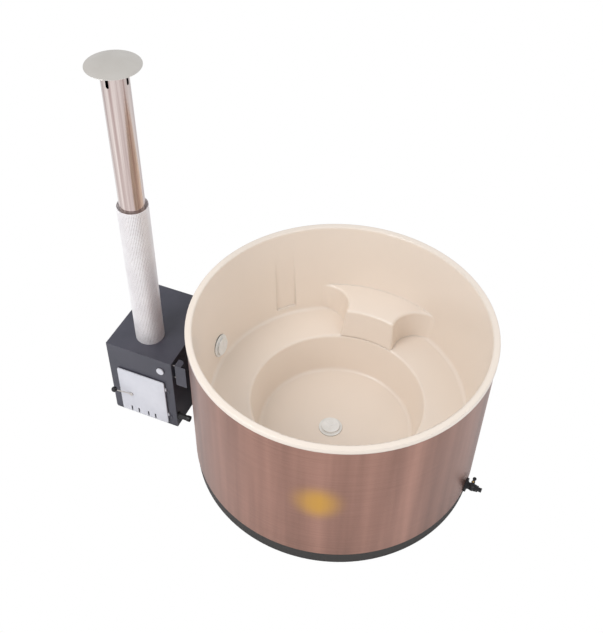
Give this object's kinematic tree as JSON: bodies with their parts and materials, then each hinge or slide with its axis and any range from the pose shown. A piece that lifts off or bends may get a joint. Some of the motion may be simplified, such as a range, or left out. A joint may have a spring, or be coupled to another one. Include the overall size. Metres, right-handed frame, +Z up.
{
  "type": "wood-burning hot tub",
  "caption": "Round copper-clad hot tub with a moulded ring bench, step and footwell, an outside wood stove with guarded chimney and rain cap, and a drain valve.",
  "frame": {"origin": "on the tub's axis at floor level", "axes": "+Z up; the stove stands on the -X side of the tub with its door facing -Y, and the drain valve points to +X"},
  "size_m": [2.3125, 1.6996, 2.4019],
  "materials": {
    "liner": "semi-gloss moulded",
    "copper": "brushed copper",
    "plinth": "satin charcoal",
    "timber": "planed",
    "foam": "open grain",
    "fitting": "semi-gloss",
    "black_plastic": "satin",
    "rubber": "matte",
    "pipe": "satin",
    "steel": "brushed",
    "polished": "polished",
    "brass": "plated",
    "stove_paint": "satin dark grey",
    "stove_dark": "matt black",
    "door_paint": "satin pale grey",
    "iron": "rough",
    "brick": "rough"
  },
  "bodies": {
    "tub_and_stove": {"tub_liner": "liner", "copper_cladding": "copper", "plinth_ring": "plinth", "lower_hoop": "timber", "upper_hoop": "timber", "base_board": "timber", "floor_bearers": "timber", "bench_ribs": "timber", "insulation_jacket": "foam", "drain_gasket": "rubber", "drain_flange": "fitting", "drain_cover": "fitting", "drain_nut": "fitting", "drain_body": "fitting", "wall_gasket": "rubber", "wall_flange": "fitting", "wall_cover": "fitting", "wall_nut": "fitting", "wall_body": "fitting", "hot_hose": "rubber", "hose_clamps": "steel", "cold_pipe": "pipe", "drain_pipe": "pipe", "stove_ports": "steel", "valve_flange": "black_plastic", "valve_body": "black_plastic", "valve_outlet": "black_plastic", "valve_seats": "fitting", "stove_base": "stove_dark", "stove_casing": "stove_paint", "firebox": "stove_dark", "grate": "iron", "flue_stub": "steel", "chimney_pipe": "polished", "heat_guard": "steel", "guard_spacers": "steel", "rain_cap": "steel", "cap_bracket": "steel", "front_plug": "door_paint", "plug_washer": "rubber", "side_bracket": "stove_paint", "bracket_studs": "steel", "stove_drain_pipe": "stove_dark", "stove_drain_plug": "black_plastic", "hinge_brackets": "stove_paint", "hinge_pins": "steel"},
    "door": {"fire_door": "door_paint", "door_liner": "brick", "door_seal": "rubber", "door_screws": "steel"},
    "latch": {"latch_lever": "steel", "latch_spindle": "steel", "latch_knob": "black_plastic"},
    "valve": {"valve_ball": "polished", "valve_stem": "brass", "valve_handle": "black_plastic"}
  },
  "joints": [
    {"name": "door_hinge", "type": "hinge", "parent": "tub_and_stove", "child": "door", "pos_m": [-0.989, -0.291, 0.211], "axis": [0, 0, 1], "range_deg": [0, 110]},
    {"name": "latch_turn", "type": "hinge", "parent": "door", "child": "latch", "pos_m": [-1.235, -0.3, 0.195], "axis": [0, -1, 0], "range_deg": [-25, 40]},
    {"name": "valve_turn", "type": "hinge", "parent": "tub_and_stove", "child": "valve", "pos_m": [0.88232, -0.06876, 0.112], "axis": [0, 0, 1], "range_deg": [0, 90]}
  ]
}
